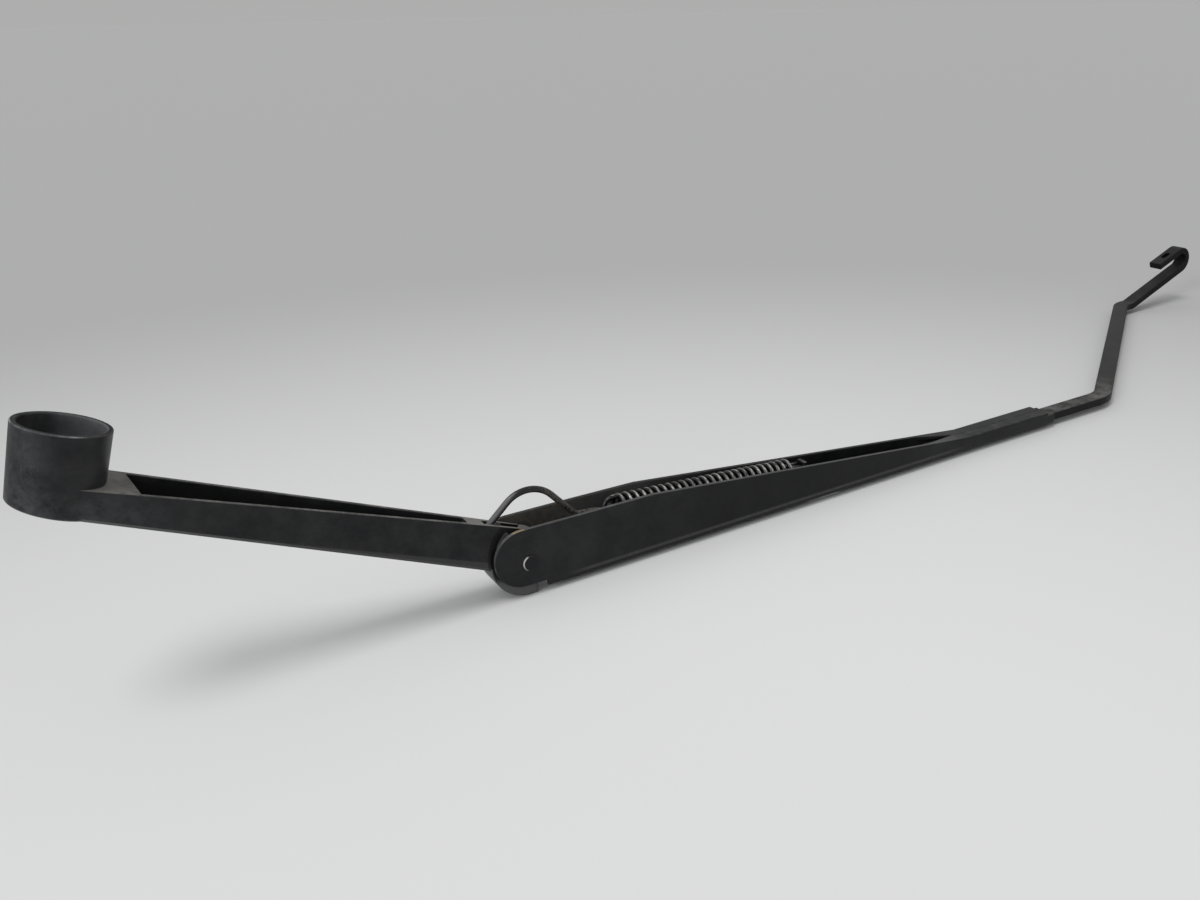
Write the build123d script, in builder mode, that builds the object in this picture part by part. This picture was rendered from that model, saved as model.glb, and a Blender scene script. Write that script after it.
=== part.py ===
"""Front wiper arm lying on its back: cast head, sprung hinge, folded channel and hooked flat bar."""

import os
from math import cos, degrees, hypot, radians, sin, tan

from build123d import *

# Hinge
nose_radius = 13.6
tongue_radius = 9.5
tongue_back = 6.0
nose_overhang = 2.4
fork_depth = 4.0
rivet_diameter = 5.0
rivet_head_diameter = 6.0
rivet_head_height = 0.7
running_clearance = 0.05
side_clearance = 0.1
bush_wall = 1.0
bush_flange = 0.7
bush_flange_diameter = 11.0

# Folded channel
sheet = 1.5
hinge_width = 16.0
ear_radius = 10.9
ear_back = 2.3
ear_rise = 2.3
web_lift = 1.5
taper_start = 20.0
shoulder_x = 51.0
shoulder_z = 12.6
crimp_start = 221.0
retainer_length = 278.0
crimp_step = 5.0
mouth_start = 195.0
mouth_end = 214.0
seam = 0.2
wall_start = 6.0
web_start = 10.0
bend_radius = 3.0

# Flat bar and its hook
bar_width = 9.0
bar_thickness = 4.0
bar_edge = 0.6
bar_fit = 0.05
bar_inner_end = 200.0
bend_1_x = 321.0
offset_run = 154.5
offset_side = 110.3
crank_bend_radius = 18.0
edge_bend_radius = 16.0
flat_run = 5.4
rise_start = 7.8
rise_bend_radius = 10.0
rise_angle = 20.5
shank_length = 51.4
hook_gap = 8.8
hook_return = 21.0
hook_slot_length = 7.0
hook_slot_width = 3.5
hook_slot_place = 11.0

# Cast head
head_tilt = 18.7
spindle_reach = 144.0
skirt_radius = 12.2
skirt_foot_radius = 11.7
skirt_wall = 1.6
rim_height = 34.9
rim_round = 0.4
cup_depth = 14.0
spindle_diameter = 8.0
nut_seat_diameter = 15.0
nut_seat_depth = 2.5
deck_at_skirt = 20.0
deck_at_hinge = 10.8
floor_at_skirt = 10.7
floor_at_hinge = -5.0
beam_start = 3.0
half_deck_at_skirt = 11.5
half_deck_at_hinge = 2.55
head_bevel = 1.2
skirt_round = 1.2
ear_gap = 1.4
pocket_start = 124.5
pocket_skew = 1.8
pocket_end = 24.0
pocket_wall = 1.6
pocket_floor = 2.4

# Spring, link and what they hang on
pin_reach = 13.2
pin_rise = 8.3
pin_diameter = 3.0
pin_length = 7.0
link_wire = 2.4
link_clearance = 0.4
leg_angle = 45.4
arch_radius = 12.0
arch_lift = 1.3
link_reach = 44.0
tail_bend_radius = 5.0
hook_lead_angle = 45.0
hook_wrap = 130.0
anchor_x = 127.0
anchor_z = 2.2
lug_width = 5.0
lug_top = 2.6
lug_hole = 3.2
spring_diameter = 9.4
spring_wire = 1.8
spring_pitch = 3.1
spring_turns = 26.5
spring_sides = 6
loop_clearance = 0.5
far_hook_radius = 1.9
far_hook_return = 4.0

# Planes. The hinge axis is the Y axis, and the head leans back from it by head_tilt
lean = radians(head_tilt)
along_head = Vector(-cos(lean), 0, sin(lean))
across_head = Vector(sin(lean), 0, cos(lean))
side = Plane(origin=(0, 0, 0), x_dir=(1, 0, 0), z_dir=(0, -1, 0))
head_side = Plane(origin=(0, 0, 0), x_dir=-along_head, z_dir=(0, -1, 0))


def head_point(reach, height):
    """A point in the head's mid-plane: reach along the beam from the hinge, height above the hinge."""
    return along_head * reach + across_head * height


def head_level(reach, height):
    """A plane square to the spindle axis, with its x along the beam towards the hinge."""
    return Plane(origin=head_point(reach, height), x_dir=-along_head, z_dir=across_head)


def head_section(reach):
    """A plane across the beam, with its x along the hinge axis and its y up the spindle axis."""
    return Plane(origin=head_point(reach, 0), x_dir=(0, 1, 0), z_dir=-along_head)


def along_beam(reach, at_hinge, at_skirt):
    """A size that changes evenly along the beam, from the hinge end to the spindle."""
    return at_hinge + (at_skirt - at_hinge) * (reach - beam_start) / (spindle_reach - beam_start)


def half_pocket(reach):
    """Half the width of the pocket: the rim on each side of it keeps one thickness."""
    return along_beam(reach, half_deck_at_hinge, half_deck_at_skirt) - pocket_wall


# Sizes that follow from those above
half_hinge = hinge_width / 2
half_inside = half_hinge - sheet
half_tongue = half_inside - side_clearance - bush_flange
web_z = web_lift - nose_radius
half_crimp = bar_width / 2 + bar_fit + sheet
crimp_top = web_z + bar_thickness + 2 * bar_fit + 2 * sheet
bar_z = web_z + sheet + bar_fit + bar_thickness / 2
bore_diameter = rivet_diameter + 2 * running_clearance
bush_diameter = bore_diameter + 2 * bush_wall
ear_top = ear_rise + ear_radius
ear_bottom = ear_rise - ear_radius
half_floor_at_skirt = skirt_foot_radius - skirt_round
link_slot = link_wire + 2 * link_clearance
eye_radius = pin_diameter / 2 + running_clearance + link_wire / 2
wide = 2 * hinge_width
long = 2 * retainer_length

# The link and the spring pull along one straight line, from the link pin to the lug in the channel
pin_place = head_point(pin_reach, pin_rise)
anchor_place = Vector(anchor_x, 0, anchor_z)
pull = (anchor_place - pin_place).normalized()
pull_length = (anchor_place - pin_place).length
pull_side = Plane(origin=pin_place, x_dir=pull, z_dir=(0, -1, 0))
pull_flat = Plane(origin=pin_place, x_dir=pull, z_dir=pull_side.y_dir)


def on_pull(distance, across=0.0, up=0.0):
    """A point by its distance from the link pin along the pull, across the arm and above the pull."""
    return pin_place + pull * distance + Vector(0, across, 0) + pull_side.y_dir * up


# Cast head: the open pocket under its beam
with BuildPart() as pocket:
    pocket_far = pocket_start + pocket_skew
    with BuildSketch(head_side):
        with BuildLine():
            Polyline(
                (-pocket_end, along_beam(pocket_end, floor_at_hinge, floor_at_skirt) + pocket_floor),
                (-pocket_end, rim_height),
                (-pocket_far, rim_height),
                (-pocket_far, along_beam(pocket_far, floor_at_hinge, floor_at_skirt) + pocket_floor),
                close=True,
            )
        make_face()
    extrude(amount=wide, both=True)
    with BuildSketch(head_level(0, floor_at_hinge)):
        with BuildLine():
            Polyline(
                (-pocket_end, half_pocket(pocket_end)),
                (-pocket_end, -half_pocket(pocket_end)),
                (-pocket_start, -half_pocket(pocket_start)),
                (-pocket_far, half_pocket(pocket_far)),
                close=True,
            )
        make_face()
    extrude(amount=2 * rim_height, mode=Mode.INTERSECT)

# Cast head: the skirt round the spindle, open towards the glass
with BuildPart() as skirt:
    with BuildSketch(head_level(spindle_reach, floor_at_skirt - skirt_wall)):
        Circle(skirt_foot_radius)
    with BuildSketch(head_level(spindle_reach, rim_height)):
        Circle(skirt_radius)
    loft()
    skirt_end = spindle_reach + 2 * skirt_radius
    with BuildSketch(head_side):
        with BuildLine():
            Polyline(
                (-beam_start, floor_at_hinge),
                (-skirt_end, along_beam(skirt_end, floor_at_hinge, floor_at_skirt)),
                (-skirt_end, floor_at_hinge),
                close=True,
            )
        make_face()
    extrude(amount=wide, both=True, mode=Mode.SUBTRACT)
    fillet(skirt.edges().sort_by(Axis((0, 0, 0), across_head))[0], skirt_round)

# Cast head: a tapering beam lofted from the hinge to the skirt
with BuildPart() as arm_head:
    with BuildSketch(head_section(beam_start)):
        with BuildLine():
            Polyline(
                (-half_hinge, floor_at_hinge),
                (half_hinge, floor_at_hinge),
                (half_deck_at_hinge, deck_at_hinge),
                (-half_deck_at_hinge, deck_at_hinge),
                close=True,
            )
        make_face()
    with BuildSketch(head_section(spindle_reach)):
        with BuildLine():
            Polyline(
                (-half_floor_at_skirt, floor_at_skirt),
                (half_floor_at_skirt, floor_at_skirt),
                (half_deck_at_skirt, deck_at_skirt),
                (-half_deck_at_skirt, deck_at_skirt),
                close=True,
            )
        make_face()
    loft(ruled=True)
    beam_edges = arm_head.edges().filter_by(lambda edge: edge.length > spindle_reach - hinge_width)
    chamfer(beam_edges.sort_by(Axis((0, 0, 0), across_head))[:2], head_bevel)
    add(skirt.part)
    # Tongue between the ears, with the nose that wraps under it
    with BuildSketch(side):
        Circle(nose_radius)
        with Locations((nose_overhang, -nose_radius)):
            Rectangle(long, wide, align=(Align.MIN, Align.CENTER), mode=Mode.SUBTRACT)
        with Locations((-tongue_back, 0)):
            Rectangle(long, wide, align=(Align.MIN, Align.MIN), mode=Mode.SUBTRACT)
        Circle(tongue_radius)
    extrude(amount=half_tongue, both=True)
    # Side recesses that the round ears turn in
    for face_y in (-half_tongue, half_tongue):
        with BuildSketch(side.offset(-face_y)):
            with Locations((-ear_back, ear_rise)):
                Circle(ear_radius + ear_gap)
        extrude(amount=-wide if face_y > 0 else wide, mode=Mode.SUBTRACT)
    add(pocket.part, mode=Mode.SUBTRACT)
    # Cup, spindle bore and nut seat
    with BuildSketch(head_level(spindle_reach, rim_height)):
        Circle(skirt_radius - skirt_wall)
    extrude(amount=-cup_depth, mode=Mode.SUBTRACT)
    with BuildSketch(head_level(spindle_reach, floor_at_skirt)):
        Circle(spindle_diameter / 2)
    extrude(amount=rim_height, both=True, mode=Mode.SUBTRACT)
    with BuildSketch(head_level(spindle_reach, floor_at_skirt + nut_seat_depth)):
        Circle(nut_seat_diameter / 2)
    extrude(amount=-rim_height, mode=Mode.SUBTRACT)
    rims = arm_head.edges().filter_by(GeomType.CIRCLE).sort_by(Axis((0, 0, 0), across_head))[-2:]
    fillet(rims, rim_round)
    # Slot for the link, hole for its pin and bore for the hinge bushes
    with BuildSketch(head_side):
        slot_start = pin_reach + eye_radius + link_wire / 2 + link_clearance
        with Locations((-slot_start, pin_rise - eye_radius - link_wire)):
            Rectangle(long, wide, align=(Align.MIN, Align.MIN))
    extrude(amount=link_slot / 2, both=True, mode=Mode.SUBTRACT)
    with BuildSketch(side):
        with Locations((-fork_depth, -nose_radius)):
            Rectangle(long, wide, align=(Align.MIN, Align.MIN))
    extrude(amount=link_slot / 2, both=True, mode=Mode.SUBTRACT)
    with BuildSketch(pull_side):
        Circle(pin_diameter / 2)
    extrude(amount=pin_length / 2, both=True, mode=Mode.SUBTRACT)
    with BuildSketch(side):
        Circle(bush_diameter / 2)
    extrude(amount=wide, both=True, mode=Mode.SUBTRACT)

# Link pin, pressed across the head's end
with BuildPart() as link_pin:
    with BuildSketch(pull_side):
        Circle(pin_diameter / 2)
    extrude(amount=pin_length / 2, both=True)


def flanged_bush(toward):
    """A nylon bush in one cheek of the tongue: its flange keeps the ear off the casting."""
    outward = Vector(0, toward, 0)
    with BuildPart() as bush:
        with BuildSketch(Plane(origin=outward * (link_slot / 2), z_dir=outward)):
            Circle(bush_diameter / 2)
        extrude(amount=half_tongue - link_slot / 2)
        with BuildSketch(Plane(origin=outward * half_tongue, z_dir=outward)):
            Circle(bush_flange_diameter / 2)
        extrude(amount=bush_flange)
        with BuildSketch(Plane(origin=(0, 0, 0), z_dir=outward)):
            Circle(bore_diameter / 2)
        extrude(amount=wide, mode=Mode.SUBTRACT)
    return bush.part


# Hinge rivet, headed over on both ears
with BuildPart() as hinge_rivet:
    with BuildSketch(side):
        Circle(rivet_diameter / 2)
    extrude(amount=half_hinge, both=True)
    for toward in (-1, 1):
        with BuildSketch(Plane(origin=(0, toward * half_hinge, 0), z_dir=(0, toward, 0))):
            Circle(rivet_head_diameter / 2)
        extrude(amount=rivet_head_height)
    ends = hinge_rivet.faces().filter_by(Plane.XZ).sort_by(Axis.Y)
    fillet([ends[0].edges()[0], ends[-1].edges()[0]], rivet_head_height / 2)


def channel_plan(inset):
    """Half of the channel's outline from above, from the ears to the crimp, set in by inset."""
    return [
        (-long, half_hinge - inset),
        (taper_start, half_hinge - inset),
        (crimp_start, half_crimp - inset),
        (long, half_crimp - inset),
    ]


def both_sides(half_outline):
    """A closed outline from one half and its mirror image."""
    return half_outline + [(x, -y) for x, y in reversed(half_outline)]


# Channel: the room inside the folded sheet, roofed where the flanges close over it
with BuildPart() as channel_room:
    with BuildSketch(side):
        with BuildLine():
            Polyline(
                (-long, web_z + sheet),
                (long, web_z + sheet),
                (long, crimp_top - sheet),
                (crimp_start, crimp_top - sheet),
                (shoulder_x, shoulder_z - sheet),
                (-long, shoulder_z - sheet),
                close=True,
            )
        make_face()
    extrude(amount=wide, both=True)
    with BuildSketch(Plane.XY.offset(-wide)):
        with BuildLine():
            Polyline(both_sides(channel_plan(sheet)), close=True)
        make_face()
    extrude(amount=2 * wide, mode=Mode.INTERSECT)

taper = (half_hinge - half_crimp) / (crimp_start - taper_start)
half_mouth = half_inside - taper * (mouth_start - taper_start)

# Retainer: folded steel channel with round ears, a lug for the spring and a crimp round the bar
with BuildPart() as retainer:
    with BuildSketch(side):
        with BuildLine():
            ThreePointArc((-ear_back, ear_top), (-ear_back - ear_radius, ear_rise), (-ear_back, ear_bottom))
            Polyline(
                (-ear_back, ear_bottom),
                (wall_start, ear_bottom),
                (wall_start, web_z),
                (retainer_length, web_z),
                (retainer_length, crimp_top),
                (crimp_start, crimp_top),
                (shoulder_x, shoulder_z),
                (-ear_back, ear_top),
            )
        make_face()
    extrude(amount=wide, both=True)
    with BuildSketch(Plane.XY.offset(-wide)):
        with BuildLine():
            Polyline(both_sides(channel_plan(0)), close=True)
        make_face()
    extrude(amount=2 * wide, mode=Mode.INTERSECT)
    lower_bends = retainer.edges().filter_by(lambda edge: abs((edge @ 0.5).Z - web_z) < sheet / 2)
    fillet(lower_bends.filter_by(lambda edge: abs((edge @ 0.5).Y) > half_crimp / 2), bend_radius)
    add(channel_room.part, mode=Mode.SUBTRACT)
    # Open top, closing to a seam over the bar
    with BuildSketch(Plane.XY.offset(web_z + 2 * sheet)):
        with BuildLine():
            Polyline(
                both_sides(
                    [
                        (-long, half_inside),
                        (taper_start, half_inside),
                        (mouth_start, half_mouth),
                        (mouth_end, seam / 2),
                        (long, seam / 2),
                    ]
                ),
                close=True,
            )
        make_face()
    extrude(amount=wide, mode=Mode.SUBTRACT)
    # The folds stop short of the channel's end, over the bar
    with BuildSketch(Plane.XY.offset(bar_z + bar_thickness / 2)):
        with Locations((retainer_length - crimp_step, 0)):
            Rectangle(long, wide, align=(Align.MIN, Align.CENTER))
    extrude(amount=wide, mode=Mode.SUBTRACT)
    # The web starts clear of the nose
    with BuildSketch(Plane.XY.offset(web_z)):
        with Locations((web_start, 0)):
            Rectangle(long, 2 * half_inside, align=(Align.MAX, Align.CENTER))
    extrude(amount=wide, both=True, mode=Mode.SUBTRACT)
    # Spring lug, lanced out of the web and turned up
    with BuildSketch(Plane.XY.offset(web_z)):
        with Locations((anchor_x + sheet / 2, 0)):
            Rectangle(anchor_z + lug_top - web_z, lug_width, align=(Align.MIN, Align.CENTER))
    extrude(amount=sheet, mode=Mode.SUBTRACT)
    with BuildSketch(Plane.XY.offset(web_z)):
        with Locations((anchor_x, 0)):
            Rectangle(sheet, lug_width)
    extrude(amount=anchor_z + lug_top - web_z)
    with BuildSketch(Plane(origin=(anchor_x, 0, anchor_z), z_dir=(1, 0, 0))):
        Circle(lug_hole / 2)
    extrude(amount=sheet, both=True, mode=Mode.SUBTRACT)
    with BuildSketch(side):
        Circle(rivet_diameter / 2)
    extrude(amount=wide, both=True, mode=Mode.SUBTRACT)

# Spring link: one bent wire, an arch with two straight legs from an eye on the link pin to an open hook
leg_turn = radians(leg_angle)
hook_radius = spring_wire / 2 + loop_clearance + link_wire / 2
arch_x = (arch_radius - eye_radius + arch_lift * cos(leg_turn)) / sin(leg_turn)
apex_y = arch_lift + arch_radius / cos(leg_turn)
eye_leg_x = -eye_radius * sin(leg_turn)
eye_leg_y = eye_radius * cos(leg_turn)
tail_bend_x = arch_x + apex_y / tan(leg_turn)
hook_lead = radians(hook_lead_angle)
sway_radius = hook_radius * sin(hook_lead) / (1 - cos(hook_lead))
sway_x = link_reach - (hook_radius + sway_radius) * sin(hook_lead)
with BuildPart() as spring_link:
    with BuildLine(pull_side) as link_path:
        FilletPolyline(
            (eye_leg_x, eye_leg_y),
            (arch_x, apex_y),
            (tail_bend_x, 0),
            (sway_x, 0),
            radius=(arch_radius, tail_bend_radius),
        )
    leg_along = pull * cos(leg_turn) + pull_side.y_dir * sin(leg_turn)
    with BuildSketch(Plane(origin=on_pull(eye_leg_x, 0, eye_leg_y), z_dir=leg_along)):
        Circle(link_wire / 2)
    sweep(path=link_path.line)
    with BuildLine(pull_flat) as hook_line:
        JernArc((sway_x, 0), (1, 0), sway_radius, -hook_lead_angle)
        JernArc(
            (link_reach - hook_radius * sin(hook_lead), -hook_radius * sin(hook_lead)),
            (cos(hook_lead), -sin(hook_lead)),
            hook_radius,
            hook_lead_angle + hook_wrap,
        )
    with BuildSketch(Plane(origin=on_pull(sway_x), z_dir=pull)):
        Circle(link_wire / 2)
    sweep(path=hook_line.line)
    with BuildSketch(pull_flat):
        with Locations((eye_radius, 0)):
            Circle(link_wire / 2)
    revolve(axis=Axis(pin_place, (0, 1, 0)))

# Tension spring: closed coils between a loop on the link's hook and a hook through the lug
coil_radius = (spring_diameter - spring_wire) / 2
coil_length = spring_pitch * spring_turns
coil_end = pull_length - 2 * far_hook_radius - spring_pitch
coil_start = coil_end - coil_length
with BuildPart() as tension_spring:
    with BuildLine() as coils:
        Helix(spring_pitch, coil_length, coil_radius, center=on_pull(coil_start), direction=pull)
    with BuildSketch(Plane(origin=coils.line @ 0, z_dir=coils.line % 0)):
        RegularPolygon(spring_wire / 2, spring_sides)
    sweep(path=coils.line, is_frenet=True)
    with BuildLine(pull_side) as near_loop:
        Line((coil_start + spring_pitch, coil_radius), (link_reach + coil_radius, coil_radius))
        ThreePointArc(
            (link_reach + coil_radius, coil_radius), (link_reach, 0), (link_reach + coil_radius, -coil_radius)
        )
        Line((link_reach + coil_radius, -coil_radius), (coil_start + spring_pitch, -coil_radius))
    with BuildSketch(Plane(origin=on_pull(coil_start + spring_pitch, 0, coil_radius), z_dir=-pull)):
        Circle(spring_wire / 2)
    sweep(path=near_loop.line)
    with BuildLine(pull_flat) as far_hook:
        FilletPolyline(
            (coil_end - spring_pitch, coil_radius),
            (coil_end + spring_wire / 2, coil_radius),
            (coil_end + spring_wire / 2 + coil_radius / 2, 0),
            (pull_length, 0),
            radius=spring_wire,
        )
        JernArc((pull_length, 0), (1, 0), far_hook_radius, 180)
        Line((pull_length, 2 * far_hook_radius), (pull_length - far_hook_return, 2 * far_hook_radius))
    with BuildSketch(Plane(origin=on_pull(coil_end - spring_pitch, coil_radius), z_dir=pull)):
        Circle(spring_wire / 2)
    sweep(path=far_hook.line)

# Flat bar: bent twice on edge to the offset line, then once on the flat to rise to its hook
hook_x = bend_1_x + offset_run
hook_plane = Plane(origin=(0, offset_side, 0), x_dir=(1, 0, 0), z_dir=(0, -1, 0))
rise = radians(rise_angle)
hook_bend_radius = (hook_gap + bar_thickness) / 2
rise_x = hook_x + rise_start
flat_end_x = hook_x + flat_run
shank_end_x = rise_x + shank_length * cos(rise)
shank_end_z = bar_z + shank_length * sin(rise)
strand_x = shank_end_x - 2 * hook_bend_radius * sin(rise)
strand_z = shank_end_z + 2 * hook_bend_radius * cos(rise)
tip_x = strand_x - hook_return * cos(rise)
tip_z = strand_z - hook_return * sin(rise)
strand = Plane(
    origin=(tip_x + hook_slot_place * cos(rise), offset_side, tip_z + hook_slot_place * sin(rise)),
    x_dir=(cos(rise), 0, sin(rise)),
    z_dir=(-sin(rise), 0, cos(rise)),
)
with BuildPart() as arm_bar:
    with BuildLine(Plane.XY.offset(bar_z)) as offset_path:
        FilletPolyline(
            (bar_inner_end, 0),
            (bend_1_x, 0),
            (hook_x, offset_side),
            (flat_end_x, offset_side),
            radius=(crank_bend_radius, edge_bend_radius),
        )
    with BuildSketch(Plane(origin=(bar_inner_end, 0, bar_z), x_dir=(0, 1, 0), z_dir=(1, 0, 0))):
        RectangleRounded(bar_width, bar_thickness, bar_edge)
    sweep(path=offset_path.line)
    with BuildLine(hook_plane) as hook_path:
        FilletPolyline(
            (flat_end_x, bar_z), (rise_x, bar_z), (shank_end_x, shank_end_z), radius=rise_bend_radius
        )
        JernArc((shank_end_x, shank_end_z), (cos(rise), sin(rise)), hook_bend_radius, 180)
        Line((strand_x, strand_z), (tip_x, tip_z))
    with BuildSketch(Plane(origin=(flat_end_x, offset_side, bar_z), x_dir=(0, 1, 0), z_dir=(1, 0, 0))):
        RectangleRounded(bar_width, bar_thickness, bar_edge)
    sweep(path=hook_path.line)
    with BuildSketch(strand):
        SlotOverall(hook_slot_length, hook_slot_width)
    extrude(amount=bar_thickness, both=True, mode=Mode.SUBTRACT)

# The arm rests on its nose and bar: the table is Z = 0 and the middle of the whole is over the origin
pieces = {
    "arm_head": arm_head.part,
    "link_pin": link_pin.part,
    "hinge_bush_near": flanged_bush(-1),
    "hinge_bush_far": flanged_bush(1),
    "hinge_rivet": hinge_rivet.part,
    "retainer": retainer.part,
    "arm_bar": arm_bar.part,
    "spring_link": spring_link.part,
    "tension_spring": tension_spring.part,
}
whole = Compound(list(pieces.values())).bounding_box()
rest = Location((-whole.center().X, -whole.center().Y, -whole.min.Z))
os.makedirs("parts", exist_ok=True)
for name, piece in pieces.items():
    placed = piece.moved(rest)
    placed.label = name
    export_step(placed, f"parts/{name}.step")
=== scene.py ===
from math import cos, pi, radians, sin, tan

import bmesh
import bpy
from mathutils import Matrix, Vector


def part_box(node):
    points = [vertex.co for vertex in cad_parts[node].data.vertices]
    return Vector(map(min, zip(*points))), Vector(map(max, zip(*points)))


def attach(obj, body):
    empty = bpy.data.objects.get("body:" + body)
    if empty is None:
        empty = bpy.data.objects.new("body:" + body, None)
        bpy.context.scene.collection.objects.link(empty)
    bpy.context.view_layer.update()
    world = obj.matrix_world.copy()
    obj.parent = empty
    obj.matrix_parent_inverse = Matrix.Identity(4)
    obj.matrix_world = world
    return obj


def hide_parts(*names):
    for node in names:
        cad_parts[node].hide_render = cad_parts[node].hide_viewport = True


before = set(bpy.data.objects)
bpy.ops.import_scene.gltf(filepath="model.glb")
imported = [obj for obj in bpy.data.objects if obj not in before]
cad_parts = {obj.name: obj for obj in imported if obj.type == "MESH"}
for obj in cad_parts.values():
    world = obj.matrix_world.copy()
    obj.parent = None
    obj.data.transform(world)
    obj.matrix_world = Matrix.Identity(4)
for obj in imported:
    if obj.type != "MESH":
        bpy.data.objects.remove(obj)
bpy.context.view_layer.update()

scene = bpy.context.scene
scene.view_settings.view_transform = "Standard"


# Cast head: a die casting with a round skirt over the spindle and a hollow beam to the hinge.
# It is painted satin black. Road dust lies on its deck and by the hinge, and the paint is
# scuffed round the skirt and rubbed thin along the cast edges. Painted shade darkens the pocket
# in the deck and the recess round the ear; painted light lightens the inside of the cup; a painted
# reflection of the table lightens its downward faces, low bevel and nose; and a painted highlight
# runs round the rim of the skirt.
class Value:
    """A shader socket that Python's own operators work on."""

    def __init__(self, finish, socket):
        self.finish = finish
        self.socket = socket

    def maths(self, operation, one, other):
        return self.finish.node("ShaderNodeMath", {"operation": operation}, {0: one, 1: other})

    def __add__(self, other):
        return self.maths("ADD", self, other)

    __radd__ = __add__

    def __sub__(self, other):
        return self.maths("SUBTRACT", self, other)

    def __rsub__(self, other):
        return self.maths("SUBTRACT", other, self)

    def __mul__(self, other):
        return self.maths("MULTIPLY", self, other)

    __rmul__ = __mul__

    def size(self):
        """The value without its sign."""
        return self.maths("ABSOLUTE", self, 0.0)


class Finish:
    """The nodes of one material, or of the room's light."""

    def __init__(self, block):
        self.block = block
        block.use_nodes = True
        self.tree = block.node_tree
        self.tree.nodes.clear()
        self.place = self.node("ShaderNodeTexCoord", output="Object")

    def node(self, kind, settings=None, sockets=None, output=None):
        """Adds a node, sets its settings and then its sockets, and returns one of its outputs."""
        made = self.tree.nodes.new(kind)
        for key, value in (settings or {}).items():
            setattr(made, key, value)
        for key, value in (sockets or {}).items():
            if isinstance(key, int):
                target = made.inputs[key]
            else:
                target = next(s for s in made.inputs if s.enabled and key in (s.name, s.identifier))
            if isinstance(value, Value):
                self.tree.links.new(value.socket, target)
            else:
                target.default_value = value
        named = [s for s in made.outputs if s.enabled and output in (None, s.name)]
        return Value(self, named[0]) if named else made

    def vector(self, operation, one, other, output="Vector"):
        """Maths on two vectors, or on a vector and a fixed direction or point."""
        sockets = {0: one, 1: other if isinstance(other, Value) else tuple(other)}
        return self.node("ShaderNodeVectorMath", {"operation": operation}, sockets, output)

    def noise(self, scale, detail=3.0, roughness=0.55, place=None):
        sockets = {"Vector": place or self.place, "Scale": scale, "Detail": detail}
        sockets["Roughness"] = roughness
        return self.node("ShaderNodeTexNoise", {}, sockets, "Fac")

    def step(self, value, low, high):
        """Rises smoothly from 0 at low to 1 at high."""
        sockets = {"Value": value, "From Min": low, "From Max": high}
        return self.node("ShaderNodeMapRange", {"interpolation_type": "SMOOTHSTEP"}, sockets)

    def mix(self, share, one, other):
        """One colour turning into another."""
        sockets = {"Factor_Float": share, "A_Color": one, "B_Color": other}
        return self.node("ShaderNodeMix", {"data_type": "RGBA"}, sockets, "Result")

    def over(self, colour, *layers):
        """A colour with others laid over it in turn, each by its share."""
        for share, other in layers:
            colour = self.mix(share, colour, other)
        return colour

    def spot(self, x, y, z, radius, soft=0.6):
        """1 in a ball round a point, in mm from the hinge, fading to 0 at its radius."""
        away = self.vector("DISTANCE", self.place, from_hinge(x, y, z), "Value")
        return self.step(away, radius / 1000, radius * (1 - soft) / 1000)

    def along(self, direction):
        """The distance from the hinge in a direction, in mm."""
        reach = self.vector("DOT_PRODUCT", self.place, direction, "Value")
        return (reach - hinge.dot(direction)) * 1000

    def length(self, one, other):
        """The length of the sloping side over two square distances."""
        return self.node("ShaderNodeMath", {"operation": "SQRT"}, {0: one * one + other * other})

    def off_line(self, start, direction):
        """The distance from a line through a point, in mm."""
        out = self.vector("SUBTRACT", self.place, start)
        out = self.vector("CROSS_PRODUCT", out, direction)
        return self.node("ShaderNodeVectorMath", {"operation": "LENGTH"}, {0: out}, "Value") * 1000

    def streaks(self, scale):
        """Noise drawn out along the arm."""
        return self.noise(scale, 4.0, place=self.vector("MULTIPLY", self.place, (0.08, 1.0, 1.0)))

    def facing(self, direction):
        """How far the surface faces a direction fixed to the part."""
        normal = self.node("ShaderNodeTexCoord", output="Normal")
        return self.vector("DOT_PRODUCT", normal, direction, "Value")

    def rounded(self, radius):
        """A normal that takes the hard corners off."""
        return self.node("ShaderNodeBevel", {"samples": 6}, {"Radius": radius})

    def edges(self, radius):
        """0 on flat faces, rising along the corners."""
        normal = self.node("ShaderNodeNewGeometry", output="Normal")
        return 1 - self.vector("DOT_PRODUCT", self.rounded(radius), normal, "Value")

    def bump(self, height, strength, distance, normal):
        sockets = {"Strength": strength, "Distance": distance, "Height": height, "Normal": normal}
        return self.node("ShaderNodeBump", {}, sockets)

    def shade(self, **sockets):
        named = {key.replace("_", " "): value for key, value in sockets.items()}
        shader = self.node("ShaderNodeBsdfPrincipled", {}, named)
        self.node("ShaderNodeOutputMaterial", {}, {"Surface": shader})

    def dress(self, *names):
        """Gives the material to CAD nodes."""
        for name in names:
            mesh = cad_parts[name].data
            mesh.materials.clear()
            mesh.materials.append(self.block)


hinge_low, hinge_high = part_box("hinge_rivet")
hinge = (hinge_low + hinge_high) / 2
to_hook = Vector((1.0, 0.0, 0.0))
to_far_side = Vector((0.0, 1.0, 0.0))
to_sky = Vector((0.0, 0.0, 1.0))
lean = radians(18.7)
along_head = Vector((-cos(lean), 0.0, sin(lean)))
across_head = Vector((sin(lean), 0.0, cos(lean)))


def from_hinge(x, y, z):
    """A point of the part, given in mm from the middle of the hinge."""
    return hinge + Vector((x, y, z)) / 1000


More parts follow.
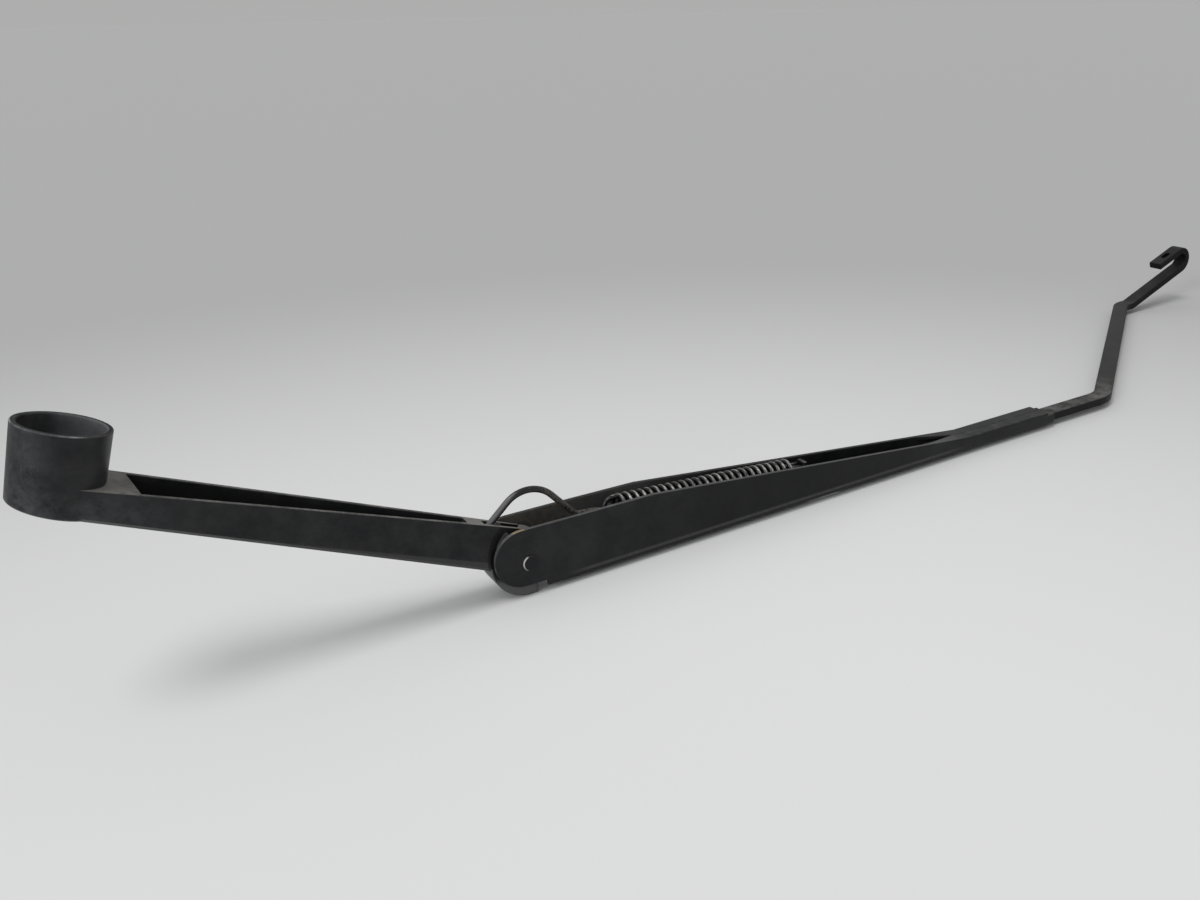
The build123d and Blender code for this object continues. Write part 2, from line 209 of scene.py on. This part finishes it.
black = (0.0040, 0.0044, 0.0054, 1.0)
worn_black = (0.0185, 0.0189, 0.0198, 1.0)
streak_black = (0.020, 0.020, 0.021, 1.0)
scuffed_grey = (0.054, 0.056, 0.061, 1.0)
pocket_shade_black = (0.0025, 0.0025, 0.0025, 1.0)
cup_lit_grey = (0.095, 0.097, 0.102, 1.0)
downward_reflection_grey = (0.060, 0.060, 0.060, 1.0)
bevel_reflection_grey = (0.040, 0.040, 0.041, 1.0)
nose_reflection_grey = (0.095, 0.095, 0.095, 1.0)
recess_shade_black = (0.0015, 0.0015, 0.0015, 1.0)
rubbed = (0.060, 0.060, 0.061, 1.0)
rim_highlight_grey = (0.24, 0.24, 0.245, 1.0)
dust = (0.190, 0.184, 0.170, 1.0)
speck = (0.16, 0.16, 0.16, 1.0)
tan_dust = (0.270, 0.200, 0.105, 1.0)
spindle_reach = 144.0
cup_radius = 10.8
rim_level = 34.7
ear_shift = 2.3

head_paint = Finish(bpy.data.materials.new("head_paint"))
mottle = head_paint.step(head_paint.noise(110.0, 7.0, 0.66), 0.26, 0.76)
grain = head_paint.noise(2600.0, 2.0)
fine = head_paint.noise(900.0, 4.0)
blotch = head_paint.noise(130.0, 5.0)
streak = head_paint.step(head_paint.streaks(900.0), 0.52, 0.75)
reach = head_paint.along(along_head)
level = head_paint.along(across_head)
height = head_paint.along(to_sky)
sideways = head_paint.along(to_far_side).size()
faces_across = head_paint.facing(across_head)
up = head_paint.step(faces_across, 0.62, 0.97)
# Painted reflection: faces turned down are painted lighter, as the table's reflection.
downward_reflection = head_paint.step(faces_across, -0.25, -0.75)

deck_level = 10.6 + 0.0652 * reach
half_deck = 2.36 + 0.0635 * reach
# Painted shade: the pocket in the deck is painted darker.
in_pocket = head_paint.step(deck_level - level, 0.6, 2.4)
in_pocket = in_pocket * head_paint.step(half_deck - sideways, 0.6, 1.2)
in_pocket = in_pocket * head_paint.step(reach, 23.0, 24.0) * head_paint.step(reach, 128.0, 126.5)

from_spindle = head_paint.length(reach - spindle_reach, sideways)
# Painted light: the inside of the cup is painted lighter, most on the side towards the hinge.
in_cup = head_paint.step(level, 20.0, 21.5)
in_cup = in_cup * head_paint.step(from_spindle, cup_radius + 0.4, cup_radius)
cup_light = head_paint.step(reach, spindle_reach + 12.0, spindle_reach - 10.0)
on_rim = head_paint.step(level, rim_level - 0.3, rim_level)
# Painted highlight: a bright line round the outer edge of the rim, broken in patches.
rim_highlight = on_rim * head_paint.step(from_spindle, cup_radius + 0.95, cup_radius + 1.15)
rim_highlight = rim_highlight * (0.2 + head_paint.step(blotch, 0.40, 0.60))
scuff = head_paint.step(blotch * 0.5 + head_paint.noise(380.0, 6.0, 0.65) * 0.7, 0.44, 0.78)
scuff = scuff * head_paint.step(from_spindle, 36.0, 10.0) * (1 - in_cup)
rubs = 0.08 + head_paint.step(reach, spindle_reach, spindle_reach + 10.0) * 0.40
rubs = rubs + head_paint.step(level, 22.0, 12.0) * 0.65
wear = head_paint.edges(0.0008) * 5.0 + head_paint.noise(700.0, 5.0) * 0.9
wear = head_paint.step(wear, 0.75, 1.25) * (1 - on_rim)

by_skirt = head_paint.step(reach, 122.0, 137.0) * head_paint.step(level, 23.0, 21.0)
by_hinge = head_paint.step(reach, 27.0, 20.0) * head_paint.step(level, 4.0, 8.0)
lie = head_paint.noise(140.0, 6.0) + head_paint.noise(620.0, 6.0, 0.75) * 1.1 - 0.3
dusting = up * head_paint.step(lie + by_skirt * 0.42 + by_hinge * 0.3, 0.52, 1.10)
dusting = dusting * (1 - in_pocket) * (1 - on_rim * 0.9)
dusty = head_paint.spot(-136.5, -8.5, 71.0, 9.0, 1.0) + head_paint.spot(-141.0, -5.0, 62.0, 8.0, 1.0)
dusty = dusty + head_paint.spot(-72.0, -9.0, 30.0, 22.0, 1.0) * 0.6
specks = head_paint.step(head_paint.noise(3200.0, 2.0) + dusty * 0.10, 0.70, 0.78) * dusty

# Painted shade: the recess round the ear is painted near black.
from_ear = head_paint.length(head_paint.along(to_hook) + ear_shift, height - ear_shift)
recess_shade = head_paint.step(from_ear, 13.6, 12.9) * head_paint.step(height, -6.5, -2.5)
recess_shade = recess_shade * head_paint.step(head_paint.facing(to_far_side).size(), 0.35, 0.60)
# Painted reflection: the nose under the ear is painted lighter.
nose_reflection = head_paint.step(from_ear, 10.9, 11.6) * head_paint.step(height, -2.5, -6.5)
nose_reflection = nose_reflection * head_paint.step(reach, 15.0, 12.0)
# Painted reflection: a lighter band along the low bevel of the beam, widest by the hinge.
over_floor = level - (-5.0 + 0.109 * reach)
bevel_reflection_band = head_paint.step(over_floor, 3.3 - 0.022 * reach, 2.7 - 0.022 * reach)
bevel_reflection_band = bevel_reflection_band * head_paint.step(reach, 110.0, 70.0)
ledge = head_paint.step(head_paint.facing(to_sky), 0.25, 0.7)
grime = head_paint.spot(-3.0, -5.0, 12.6, 4.5) * ledge * (1 - recess_shade)
grime = head_paint.step(grime * (0.45 + head_paint.noise(900.0, 5.0)), 0.55, 0.95)

roughness = 0.36 + mottle * 0.08 + fine * 0.08
head_paint.shade(
    Base_Color=head_paint.over(
        black,
        (mottle, worn_black),
        (streak * 0.25, streak_black),
        (scuff * rubs, scuffed_grey),
        (in_pocket * 0.75, pocket_shade_black),
        (in_cup * (mottle * 0.5 + cup_light * 0.6), cup_lit_grey),
        (downward_reflection * (0.5 + blotch * 0.6), downward_reflection_grey),
        (bevel_reflection_band * (0.45 + fine * 0.5), bevel_reflection_grey),
        (nose_reflection * (0.55 + fine * 0.6), nose_reflection_grey),
        (recess_shade * 0.9, recess_shade_black),
        (wear * 0.55, rubbed),
        (rim_highlight * 0.8, rim_highlight_grey),
        (dusting * 0.85, dust),
        (specks * 0.45, speck),
        (grime * 0.7, tan_dust),
    ),
    Roughness=roughness + dusting * 0.28 + in_pocket * 0.25 + on_rim * 0.4,
    Specular_IOR_Level=0.25,
    Normal=head_paint.bump(grain, 0.14, 0.00015, head_paint.rounded(0.0006)),
)
head_paint.dress("arm_head")

# Hinge bushes and link pin: two flanged nylon bushes line the bore of the casting, and a steel
# pin pressed across its end carries the link's eye. Little of them shows once the arm is riveted.
nylon_black = (0.012, 0.012, 0.012, 1.0)
nylon_brown = (0.045, 0.040, 0.032, 1.0)
bush_nylon = Finish(bpy.data.materials.new("bush_nylon"))
bush_nylon.shade(
    Base_Color=bush_nylon.mix(bush_nylon.noise(500.0), nylon_black, nylon_brown),
    Roughness=0.5 + bush_nylon.noise(900.0) * 0.2,
)
bush_nylon.dress("hinge_bush_near", "hinge_bush_far")
bare_steel = (0.25, 0.24, 0.23, 1.0)
brown_steel = (0.12, 0.09, 0.065, 1.0)
pin_steel = Finish(bpy.data.materials.new("pin_steel"))
pin_steel.shade(
    Base_Color=pin_steel.mix(pin_steel.noise(900.0), bare_steel, brown_steel),
    Metallic=1.0,
    Roughness=0.35 + pin_steel.noise(1500.0) * 0.2,
)
pin_steel.dress("link_pin")

# Hinge rivet: a steel rivet through both ears, headed over cold and painted with the arm.
# Its rim is rubbed a little, and a painted highlight lies as a bright crescent on its left.
rivet_highlight_grey = (0.42, 0.42, 0.41, 1.0)
rivet_paint = Finish(bpy.data.materials.new("rivet_paint"))
from_axis = rivet_paint.length(rivet_paint.along(to_hook), rivet_paint.along(to_sky))
rim = rivet_paint.step(from_axis, 2.62, 2.82)
# Painted highlight: a bright crescent on the left of the rim of the head.
crescent_highlight = rim * rivet_paint.step(rivet_paint.along(Vector((-1.0, 0.0, 0.12))), 0.9, 2.0)
crescent_highlight = crescent_highlight * rivet_paint.step(rivet_paint.noise(900.0, 3.0), 0.22, 0.45)
rivet_paint.shade(
    Base_Color=rivet_paint.over(black, (rim * 0.25, rubbed), (crescent_highlight * 0.9, rivet_highlight_grey)),
    Roughness=0.36 + rivet_paint.noise(1200.0) * 0.15,
    Specular_IOR_Level=0.25,
    Normal=rivet_paint.rounded(0.0004),
)
rivet_paint.dress("hinge_rivet")

# Retainer: one sheet of steel folded to a channel that tapers from the round ears to a crimp
# round the bar. It is painted satin black with the rest; the raw sheet edges show through thin
# paint, and the inside of the far wall is painted a lighter grey towards the hinge and is a little
# rusty there. Dust lies on its upward faces. Painted shade darkens the middle of its length, the
# lower bend and the notch by the hinge, and painted highlights lie on the lower bend, the near top
# edge and the ear's edge.
drawn_black = (0.020, 0.020, 0.020, 1.0)
lining_grey = (0.056, 0.056, 0.055, 1.0)
rust_brown = (0.100, 0.086, 0.060, 1.0)
middle_shade_black = (0.0022, 0.0024, 0.0030, 1.0)
shade_black = (0.0008, 0.0008, 0.0008, 1.0)
bend_highlight_grey = (0.055, 0.055, 0.056, 1.0)
raw_edge_and_highlight_grey = (0.085, 0.085, 0.086, 1.0)
mark_grey = (0.13, 0.13, 0.125, 1.0)
notch_shade_black = (0.003, 0.003, 0.003, 1.0)
web_level = -12.1

channel_paint = Finish(bpy.data.materials.new("channel_paint"))
mottle = channel_paint.step(channel_paint.noise(80.0, 7.0, 0.66), 0.26, 0.78)
grain = channel_paint.noise(2200.0, 2.0)
fine = channel_paint.noise(800.0, 4.0)
streak = channel_paint.step(channel_paint.streaks(800.0), 0.50, 0.75)
reach = channel_paint.along(to_hook)
level = channel_paint.along(Vector((0.1035, 0.0, 1.0)))
sideways = channel_paint.along(to_far_side)
faces_sky = channel_paint.facing(to_sky)
on_crimp = channel_paint.step(reach, 200.0, 222.0)
# Painted shade: the middle of the channel's length is painted darker.
middle_shade = channel_paint.step(reach, 30.0, 90.0) * channel_paint.step(reach, 215.0, 150.0)

# Raw sheet edges show through thin paint, with a painted highlight on the near top edge and on the
# ear edges that face up and left.
sheet_edge_and_highlight = channel_paint.step(channel_paint.facing((0.1, 0.0, 1.0)), 0.5, 0.9)
sheet_edge_and_highlight = sheet_edge_and_highlight * channel_paint.step(level, 6.0, 10.0) * (1 - on_crimp)
sheet_edge_and_highlight = sheet_edge_and_highlight * channel_paint.step(sideways, 1.0, -1.0)
ear_edge_and_highlight = channel_paint.step(channel_paint.facing((-0.85, 0.0, 0.53)), 0.45, 0.85)
ear_edge_and_highlight = ear_edge_and_highlight * channel_paint.step(reach, 2.0, -3.0)
wear = channel_paint.edges(0.0006) * (6.0 - on_crimp * 4.0)
wear = channel_paint.step(wear + channel_paint.noise(500.0, 5.0) * 0.9, 0.75, 1.25)
over_web = channel_paint.along(to_sky) - web_level
# Painted highlight: a light line along the top of the lower bend.
bend_highlight = channel_paint.step(over_web, 2.2, 2.8) * channel_paint.step(over_web, 4.2, 3.3)
bend_highlight = bend_highlight * (1 - on_crimp) * channel_paint.step(reach, 12.0, 24.0)
bend_highlight = bend_highlight * (0.3 + fine * 0.8)
# Painted shade: the lower part of the bend is painted near black.
lower_bend_shade = channel_paint.step(over_web, 2.6, 1.6)
# Painted shade: the notch by the hinge is painted near black.
notch_shade = channel_paint.spot(9.5, -6.0, -10.5, 5.0, 0.3)
notch_shade = notch_shade * channel_paint.step(sideways.size(), 7.2, 6.6)

far_wall = channel_paint.step(channel_paint.facing(-to_far_side), 0.5, 0.9)
far_wall = far_wall * channel_paint.step(sideways, 1.0, 2.0)
# The inside of the far wall is painted a lighter, mottled grey towards the hinge.
lining = far_wall * (0.35 + channel_paint.noise(220.0, 6.0) * 1.2)
lining = lining * channel_paint.step(reach, 150.0, 40.0)
rust = far_wall * channel_paint.step(reach, 34.0, 12.0)
rust = rust * channel_paint.step(channel_paint.noise(420.0, 6.0, 0.7), 0.40, 0.68)
dusting = channel_paint.step(faces_sky, 0.6, 0.95)
dusting = dusting * channel_paint.step(channel_paint.noise(160.0, 6.0), 0.5, 0.8)
dusty = channel_paint.spot(4.0, -8.0, 4.0, 11.0, 1.0)
dusty = dusty + channel_paint.spot(14.0, -8.0, -3.0, 9.0, 1.0) * 0.6
marks = channel_paint.step(channel_paint.noise(3200.0, 2.0) + dusty * 0.08, 0.69, 0.78) * dusty
ledge = channel_paint.spot(-3.0, -6.5, 12.6, 4.0) * channel_paint.step(faces_sky, 0.25, 0.7)
grime = channel_paint.step(ledge * (0.45 + channel_paint.noise(900.0, 5.0)), 0.5, 0.9)

softened = channel_paint.rounded(0.0005 + on_crimp * 0.0016)
channel_paint.shade(
    Base_Color=channel_paint.over(
        black,
        (mottle, worn_black),
        (streak * 0.15, drawn_black),
        (lining, lining_grey),
        (rust * 0.9, rust_brown),
        (middle_shade * 0.6, middle_shade_black),
        (lower_bend_shade * 0.9, shade_black),
        (bend_highlight, bend_highlight_grey),
        (wear * 0.55, rubbed),
        ((sheet_edge_and_highlight + ear_edge_and_highlight) * (fine * 1.3 - 0.05), raw_edge_and_highlight_grey),
        (dusting * 0.30, dust),
        (marks * 0.4, mark_grey),
        (grime * 0.65, tan_dust),
        (notch_shade * 0.9, notch_shade_black),
    ),
    Roughness=0.38 + mottle * 0.08 + fine * 0.08 + dusting * 0.2,
    Specular_IOR_Level=0.22,
    Normal=channel_paint.bump(grain, 0.14, 0.00015, softened),
)
channel_paint.dress("retainer")

# Spring link: one bent steel wire, an arch over the hinge from the link pin to the spring.
# Its coating is dark. Dust and a little rust sit on its feet; its left leg has a painted highlight.
coated_black = (0.0045, 0.0045, 0.0048, 1.0)
coated_grey = (0.012, 0.0115, 0.011, 1.0)
leg_highlight_grey = (0.12, 0.12, 0.125, 1.0)
foot_rust = (0.105, 0.094, 0.074, 1.0)
link_wire = Finish(bpy.data.materials.new("link_wire"))
mottle = link_wire.noise(300.0, 4.0)
reach = link_wire.along(to_hook)
foot = link_wire.step(reach, 6.0, 13.0) + link_wire.spot(-11.0, 0.0, 13.0, 4.0)
rust = link_wire.step(link_wire.noise(1300.0, 6.0, 0.75) + foot * 0.17, 0.56, 0.80)
# Painted highlight: the left leg, where it faces up and to the left.
left_leg_highlight = link_wire.step(reach, 1.0, -4.0)
left_leg_highlight = left_leg_highlight * link_wire.step(link_wire.facing((-0.45, -0.55, 0.7)), 0.55, 0.95)
link_wire.shade(
    Base_Color=link_wire.over(
        coated_black,
        (mottle * 0.6, coated_grey),
        (left_leg_highlight * 0.8, leg_highlight_grey),
        (rust * 0.75, foot_rust),
    ),
    Roughness=0.20 + mottle * 0.12 + rust * 0.4,
    Specular_IOR_Level=0.4,
)
link_wire.dress("spring_link")

# Tension spring: close coils of phosphated round wire, hooked to the link by a raised end loop
# and to a lug in the channel by an open hook. A painted highlight runs along the coils' outer crest.
pin = from_hinge(-9.842, 0.0, 12.094)
lug = from_hinge(127.0, 0.0, 2.2)
pull = (lug - pin).normalized()
across = to_far_side
rise = pull.cross(across)
wire_radius = 0.0009
wire_sides = 14
coil_radius = 0.0038
coil_pitch = 0.0031
coil_turns = 26.5
coil_steps = 26
coil_first = pin + pull * 0.04815
coil_last = coil_first + pull * coil_pitch * coil_turns
loop_centre = pin + pull * (0.044 + coil_radius)
loop_steps = 20
lead_turn = radians(63.43)
lead_radius = 0.0018
lead_steps = 7
lead_cut = lead_radius * tan(lead_turn / 2)
hook_radius = 0.0019
hook_steps = 16
hook_tail = 0.004


def wire_ring(form, centre, along):
    """A ring as wide as the wire, as the edges that a length of wire grows from."""
    count = len(form.edges)
    place = Matrix.Translation(centre) @ along.to_track_quat("Z", "Y").to_matrix().to_4x4()
    bmesh.ops.create_circle(form, segments=wire_sides, radius=wire_radius, matrix=place)
    form.edges.ensure_lookup_table()
    return form.edges[count:]


def straight(form, ring, move):
    """A straight length of wire, grown from a ring."""
    grown = bmesh.ops.extrude_edge_only(form, edges=ring)["geom"]
    corners = [part for part in grown if isinstance(part, bmesh.types.BMVert)]
    bmesh.ops.translate(form, verts=corners, vec=move)
    return [part for part in grown if isinstance(part, bmesh.types.BMEdge)]


def bend(form, ring, centre, axis, angle, steps, advance=(0.0, 0.0, 0.0)):
    """A bent or coiled length of wire, grown from a ring round an axis."""
    corners = [vert for edge in ring for vert in edge.verts]
    turned = bmesh.ops.spin(
        form,
        geom=list(dict.fromkeys(corners)) + list(ring),
        cent=centre,
        axis=axis,
        dvec=advance,
        angle=angle,
        steps=steps,
    )
    return [part for part in turned["geom_last"] if isinstance(part, bmesh.types.BMEdge)]


spring_form = bmesh.new()
helix_along = (pull * coil_pitch / (2 * pi) - rise * coil_radius).normalized()
coil_ring = wire_ring(spring_form, coil_first - across * coil_radius, helix_along)
advance = pull * coil_pitch / coil_steps
steps = round(coil_turns * coil_steps)
bend(spring_form, coil_ring, coil_first, pull, coil_turns * 2 * pi, steps, advance)

loop_tail = coil_first + pull * coil_pitch - loop_centre
loop_ring = wire_ring(spring_form, loop_centre + loop_tail + rise * coil_radius, -pull)
loop_ring = straight(spring_form, loop_ring, -loop_tail)
loop_ring = bend(spring_form, loop_ring, loop_centre, across, -pi, loop_steps)
straight(spring_form, loop_ring, loop_tail)

lead_out = coil_last + pull * wire_radius
lead_in = lead_out + pull * coil_radius / 2
slope = pull * cos(lead_turn) - across * sin(lead_turn)
hook_start = coil_last - pull * coil_pitch
out_centre = lead_out - pull * lead_cut + across * (coil_radius - lead_radius)
in_centre = lead_in + pull * lead_cut + across * lead_radius
hook_ring = wire_ring(spring_form, hook_start + across * coil_radius, pull)
hook_ring = straight(spring_form, hook_ring, lead_out - pull * lead_cut - hook_start)
hook_ring = bend(spring_form, hook_ring, out_centre, rise, -lead_turn, lead_steps)
hook_ring = straight(spring_form, hook_ring, slope * (coil_radius / sin(lead_turn) - 2 * lead_cut))
hook_ring = bend(spring_form, hook_ring, in_centre, rise, lead_turn, lead_steps)
hook_ring = straight(spring_form, hook_ring, lug - lead_in - pull * lead_cut)
hook_ring = bend(spring_form, hook_ring, lug + across * hook_radius, rise, pi, hook_steps)
straight(spring_form, hook_ring, pull * -hook_tail)
bmesh.ops.holes_fill(spring_form, edges=spring_form.edges, sides=0)
bmesh.ops.recalc_face_normals(spring_form, faces=spring_form.faces)
for face in spring_form.faces:
    face.smooth = len(face.verts) == 4
spring_mesh = bpy.data.meshes.new("spring_coils")
spring_form.to_mesh(spring_mesh)
spring_form.free()
spring = bpy.data.objects.new("spring_coils", spring_mesh)
scene.collection.objects.link(spring)

coil_black = (0.022, 0.022, 0.023, 1.0)
coil_grey = (0.065, 0.063, 0.060, 1.0)
coil_highlight_grey = (0.56, 0.55, 0.53, 1.0)
spring_wire = Finish(bpy.data.materials.new("spring_wire"))
mottle = spring_wire.noise(400.0, 4.0)
fine = spring_wire.noise(1500.0, 4.0)
# Painted highlight: a bright line along the outer crest of the coils, broken in patches.
crest_highlight = spring_wire.step(spring_wire.off_line(pin, pull), 4.52, 4.67)
crest_highlight = crest_highlight * spring_wire.step(mottle, 0.34, 0.58)
surface = spring_wire.node("ShaderNodeNewGeometry", output="Normal")
spring_wire.shade(
    Base_Color=spring_wire.over(coil_black, (mottle * 0.7, coil_grey), (crest_highlight * 0.8, coil_highlight_grey)),
    Metallic=0.8,
    Roughness=0.24 + fine * 0.18,
    Normal=spring_wire.bump(fine, 0.2, 0.0001, surface),
)
spring_mesh.materials.append(spring_wire.block)
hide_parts("tension_spring")
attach(spring, "link")

# Arm bar: flat steel bar crimped in the channel, cranked to the side, rising to the hook that
# takes the blade. Its paint is a little greyer than the channel's and thin along the corners.
# Painted shade darkens its sides and its rising end.
bar_black = (0.0085, 0.0087, 0.0092, 1.0)
bar_grey = (0.0150, 0.0152, 0.0156, 1.0)
side_shade_black = (0.0030, 0.0030, 0.0030, 1.0)
bar_paint = Finish(bpy.data.materials.new("bar_paint"))
mottle = bar_paint.noise(80.0, 4.0)
grain = bar_paint.noise(2400.0, 2.0)
fine = bar_paint.noise(900.0, 4.0)
faces_sky = bar_paint.facing(to_sky)
on_run = bar_paint.step(bar_paint.along(to_hook), 345.0, 325.0)
on_rise = bar_paint.step(bar_paint.along(to_sky), -6.0, -2.0)
# Painted shade: the sides of the bar and its rising end are painted darker.
shaded_sides = bar_paint.step(faces_sky, 0.5, 0.2)
wear = bar_paint.edges(0.0007) * 6.0 + bar_paint.noise(600.0, 5.0) * 0.9
wear = bar_paint.step(wear, 0.75, 1.25)
dusting = bar_paint.step(bar_paint.noise(120.0, 6.0) + fine * 0.4, 0.55, 0.95)
dusting = dusting * bar_paint.step(faces_sky, 0.6, 0.95)
bar_paint.shade(
    Base_Color=bar_paint.over(
        bar_black,
        (mottle * 0.6, bar_grey),
        (on_rise * 0.3 + shaded_sides * 0.7, side_shade_black),
        (dusting * (0.10 + on_run * 0.45 - on_rise * 0.04), dust),
        (wear * (0.6 - on_rise * 0.35), rubbed),
    ),
    Roughness=0.38 + mottle * 0.12 + fine * 0.08 + dusting * 0.1,
    Specular_IOR_Level=0.14,
    Normal=bar_paint.bump(grain, 0.14, 0.00015, bar_paint.rounded(0.0004)),
)
bar_paint.dress("arm_bar")

# Camera: a hand-held view from the near left and above, turned a little on its own axis.
# The part sits to one side of the picture, so the frame is shifted on the lens.
view_turn = radians(34.61)
view_dip = radians(24.72)
view_roll = radians(-1.04)
eye = hinge + Vector((-0.128503, -0.338394, 0.180991))
camera_data = bpy.data.cameras.new("view")
camera_data.sensor_width = 36.0
camera_data.lens = 32.756
camera_data.shift_x = -0.13323
camera_data.shift_y = 0.04346
camera_data.clip_start = 0.01
camera = bpy.data.objects.new("view", camera_data)
scene.collection.objects.link(camera)
camera.matrix_world = (
    Matrix.Translation(eye)
    @ Matrix.Rotation(-view_turn, 4, "Z")
    @ Matrix.Rotation(pi / 2 - view_dip, 4, "X")
    @ Matrix.Rotation(view_roll, 4, "Z")
)
scene.camera = camera

# Table and light: a pale matt table, clear from below, its colour painted darker away from the
# part as a painted falloff of light, under a soft bright ceiling, with one wide lamp high on the
# left and a weaker, cooler one low on the left.
table_size = 20.0
near_white = (0.665, 0.665, 0.665, 1.0)
painted_falloff_grey = (0.385, 0.385, 0.384, 1.0)
horizon_grey = (0.425, 0.425, 0.424, 1.0)
ceiling_white = (0.62, 0.62, 0.62, 1.0)
floor_mesh = bpy.data.meshes.new("table")
floor_form = bmesh.new()
bmesh.ops.create_grid(floor_form, x_segments=1, y_segments=1, size=table_size)
floor_form.to_mesh(floor_mesh)
floor_form.free()
floor = bpy.data.objects.new("table", floor_mesh)
scene.collection.objects.link(floor)
table = Finish(bpy.data.materials.new("table"))
# Painted falloff of light: the table's colour darkens away from the part.
away = table.length(table.along(to_hook) + 60.0, table.along(to_far_side) + 190.0)
table.shade(
    Base_Color=table.mix(table.step(away, 130.0, 760.0), near_white, painted_falloff_grey),
    Roughness=0.8,
    Specular_IOR_Level=0.1,
    Alpha=1.0 - table.node("ShaderNodeNewGeometry", output="Backfacing"),
)
floor_mesh.materials.append(table.block)


def soft_lamp(name, place, spread, strength, tint):
    """A far, wide lamp that shines from a place towards the part."""
    lamp = bpy.data.lights.new(name, "SUN")
    lamp.angle = radians(spread)
    lamp.energy = strength
    lamp.color = tint
    made = bpy.data.objects.new(name, lamp)
    turned = Vector(place).to_track_quat("Z", "Y").to_matrix().to_4x4()
    made.matrix_world = Matrix.Translation(Vector(place)) @ turned
    scene.collection.objects.link(made)


soft_lamp("key", (-0.62, -0.30, 1.75), 26.0, 1.3, (1.0, 1.0, 1.0))
soft_lamp("side", (-2.6, -0.9, 1.1), 16.0, 0.85, (0.94, 0.97, 1.0))
room = Finish(bpy.data.worlds.new("room"))
direction = room.node("ShaderNodeTexCoord", output="Generated")
climb = room.node("ShaderNodeSeparateXYZ", {}, {0: direction}, "Z")
ceiling = room.mix(room.step(climb, 0.02, 0.5), horizon_grey, ceiling_white)
light = room.node("ShaderNodeBackground", {}, {"Color": ceiling})
room.node("ShaderNodeOutputWorld", {}, {"Surface": light})
scene.world = room.block
